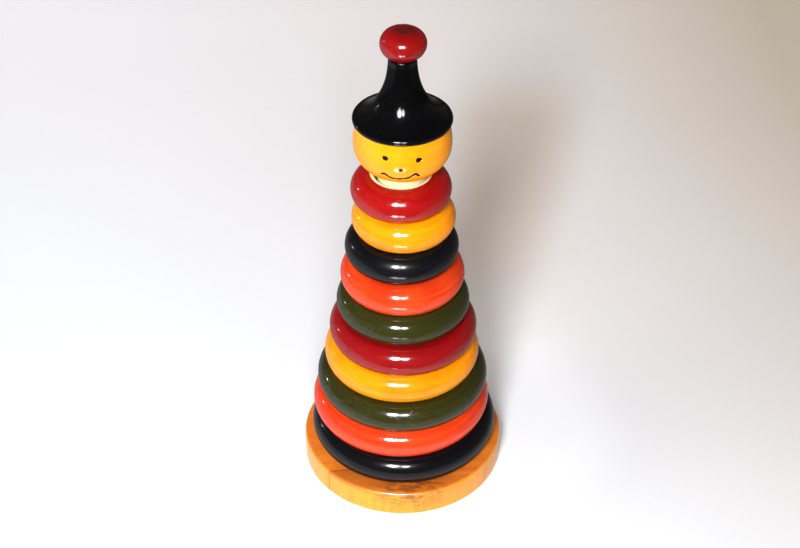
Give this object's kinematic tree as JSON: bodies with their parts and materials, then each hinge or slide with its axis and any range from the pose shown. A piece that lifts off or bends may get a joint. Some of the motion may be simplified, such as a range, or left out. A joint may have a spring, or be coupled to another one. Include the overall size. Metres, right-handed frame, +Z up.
{
  "type": "stacking ring toy",
  "caption": "Turned wooden stacking toy: loose rounded rings that taper upwards on a post fixed in a round base, topped by a lift-off clown head with a flared hat and knob.",
  "frame": {"origin": "centre of the base's underside, on the post's axis", "axes": "+Z up along the post, -Y the way the face looks, +X to the right of someone facing the face"},
  "size_m": [0.1, 0.1, 0.2431],
  "materials": {
    "base_lacquer": "translucent amber lacquer over plain turned wood, glossy, grain and a knot showing through",
    "bare_wood": "fine pale turned wood, unlacquered, satin",
    "black_lacquer": "opaque black lacquer turned on wood, mirror gloss",
    "orange_red_lacquer": "opaque orange-red lacquer turned on wood, mirror gloss",
    "olive_lacquer": "opaque olive green lacquer turned on wood, mirror gloss",
    "yellow_lacquer": "opaque golden yellow lacquer turned on wood, mirror gloss",
    "crimson_lacquer": "opaque crimson lacquer turned on wood, mirror gloss",
    "head_lacquer": "opaque golden yellow lacquer turned on wood, with small burnt dark face marks",
    "dowel_wood": "plain birch dowel, dry"
  },
  "bodies": {
    "stand": {"base": "base_lacquer", "post": "bare_wood"},
    "ring_01": {"ring_01": "black_lacquer"},
    "ring_02": {"ring_02": "orange_red_lacquer"},
    "ring_03": {"ring_03": "olive_lacquer"},
    "ring_04": {"ring_04": "yellow_lacquer"},
    "ring_05": {"ring_05": "crimson_lacquer"},
    "ring_06": {"ring_06": "olive_lacquer"},
    "ring_07": {"ring_07": "orange_red_lacquer"},
    "ring_08": {"ring_08": "black_lacquer"},
    "ring_09": {"ring_09": "yellow_lacquer"},
    "ring_10": {"ring_10": "crimson_lacquer"},
    "cap": {"head": "head_lacquer", "hat": "black_lacquer", "knob": "crimson_lacquer", "cap_dowel": "dowel_wood"}
  },
  "joints": [
    {"name": "ring_01_lift", "type": "slide", "parent": "stand", "child": "ring_01", "axis": [0, 0, 1], "range_m": [0, 0.18]},
    {"name": "ring_02_lift", "type": "slide", "parent": "ring_01", "child": "ring_02", "axis": [0, 0, 1], "range_m": [0, 0.164]},
    {"name": "ring_03_lift", "type": "slide", "parent": "ring_02", "child": "ring_03", "axis": [0, 0, 1], "range_m": [0, 0.149]},
    {"name": "ring_04_lift", "type": "slide", "parent": "ring_03", "child": "ring_04", "axis": [0, 0, 1], "range_m": [0, 0.134]},
    {"name": "ring_05_lift", "type": "slide", "parent": "ring_04", "child": "ring_05", "axis": [0, 0, 1], "range_m": [0, 0.119]},
    {"name": "ring_06_lift", "type": "slide", "parent": "ring_05", "child": "ring_06", "axis": [0, 0, 1], "range_m": [0, 0.103]},
    {"name": "ring_07_lift", "type": "slide", "parent": "ring_06", "child": "ring_07", "axis": [0, 0, 1], "range_m": [0, 0.087]},
    {"name": "ring_08_lift", "type": "slide", "parent": "ring_07", "child": "ring_08", "axis": [0, 0, 1], "range_m": [0, 0.071]},
    {"name": "ring_09_lift", "type": "slide", "parent": "ring_08", "child": "ring_09", "axis": [0, 0, 1], "range_m": [0, 0.055]},
    {"name": "ring_10_lift", "type": "slide", "parent": "ring_09", "child": "ring_10", "axis": [0, 0, 1], "range_m": [0, 0.039]},
    {"name": "cap_lift", "type": "slide", "parent": "ring_10", "child": "cap", "axis": [0, 0, 1], "range_m": [0, 0.019]}
  ]
}
